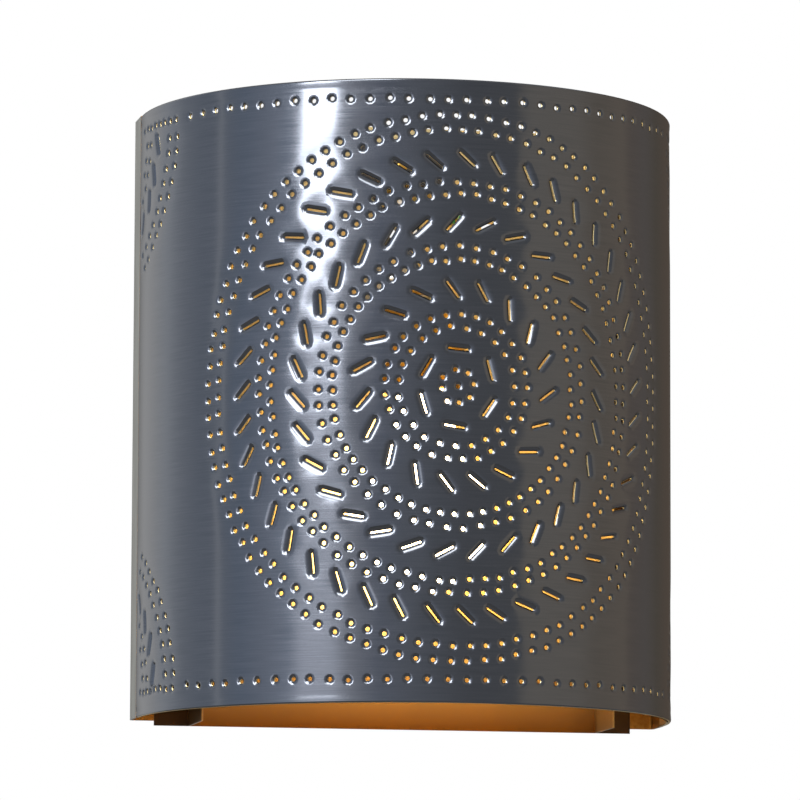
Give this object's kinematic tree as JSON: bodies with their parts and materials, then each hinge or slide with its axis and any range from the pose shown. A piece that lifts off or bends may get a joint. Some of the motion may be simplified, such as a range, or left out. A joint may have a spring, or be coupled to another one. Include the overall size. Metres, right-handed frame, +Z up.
{
  "type": "wall sconce",
  "caption": "Half-round tin wall sconce with a concentric punched dot and chisel pattern, open top and bottom, hung on a folded wall plate over a frosted screw-in bulb",
  "frame": {"origin": "middle of the wall plate's back face, on the wall", "axes": "+Z up along the wall, +Y into the wall, so the shade's front faces -Y"},
  "size_m": [0.226, 0.131, 0.258],
  "materials": {
    "dark_tin": "dark polished tinplate",
    "rail_tin": "satin tinplate",
    "plate_tin": "gold-lacquered tinplate",
    "plain_steel": "bright zinc-plated steel",
    "lamp_brass": "bright brass",
    "bulb_nickel": "nickel-plated screw base",
    "hot_tungsten": "coiled filament, lit",
    "black_phenolic": "black moulded phenolic",
    "black_rubber": "soft black rubber",
    "frosted_glass": "frosted inside, lit warm white",
    "clear_glass": "clear glass",
    "black_pvc": "black wire insulation",
    "white_pvc": "white wire insulation",
    "green_pvc": "green wire insulation",
    "green_paint": "green earth screw"
  },
  "bodies": {
    "wall_plate": {"wall_plate": "plate_tin", "wire_grommet": "black_rubber", "left_hanger_pin": "plain_steel", "right_hanger_pin": "plain_steel", "socket_bracket": "plain_steel", "bracket_rivet_1": "plain_steel", "bracket_rivet_2": "plain_steel", "socket_body": "lamp_brass", "socket_contact": "lamp_brass", "socket_screw_shell": "lamp_brass", "socket_nipple": "lamp_brass", "socket_washer": "plain_steel", "socket_nut": "lamp_brass", "terminal_block": "black_phenolic", "hot_clamp_screw": "lamp_brass", "neutral_clamp_screw": "lamp_brass", "earth_clamp_screw": "lamp_brass", "block_screw_1": "plain_steel", "block_screw_2": "plain_steel", "earth_lug": "lamp_brass", "earth_screw": "green_paint", "hot_lead": "black_pvc", "neutral_lead": "white_pvc", "earth_lead": "green_pvc"},
    "shade": {"shade_sheet": "dark_tin", "left_rail": "rail_tin", "right_rail": "rail_tin", "left_hook": "plain_steel", "right_hook": "plain_steel"},
    "bulb_contact": {"bulb_tip": "lamp_brass"},
    "bulb": {"bulb_insulator": "black_phenolic", "bulb_base": "bulb_nickel", "bulb_glass": "frosted_glass", "bulb_stem": "clear_glass", "left_filament_support": "plain_steel", "right_filament_support": "plain_steel", "bulb_filament": "hot_tungsten"}
  },
  "joints": [
    {"name": "shade_lift", "type": "slide", "parent": "wall_plate", "child": "shade", "axis": [0, 0, 1], "range_m": [0, 0.262]},
    {"name": "bulb_drop", "type": "slide", "parent": "wall_plate", "child": "bulb_contact", "axis": [0, 0, -1], "range_m": [0, 0.02177]},
    {"name": "bulb_turn", "type": "hinge", "parent": "bulb_contact", "child": "bulb", "pos_m": [0, -0.056, 0], "axis": [0, 0, -1], "range_deg": [0, 2160]}
  ],
  "couplings": [
    {"joint": "bulb_drop", "follows": "bulb_turn", "m_per_rad": 0.00057757}
  ]
}
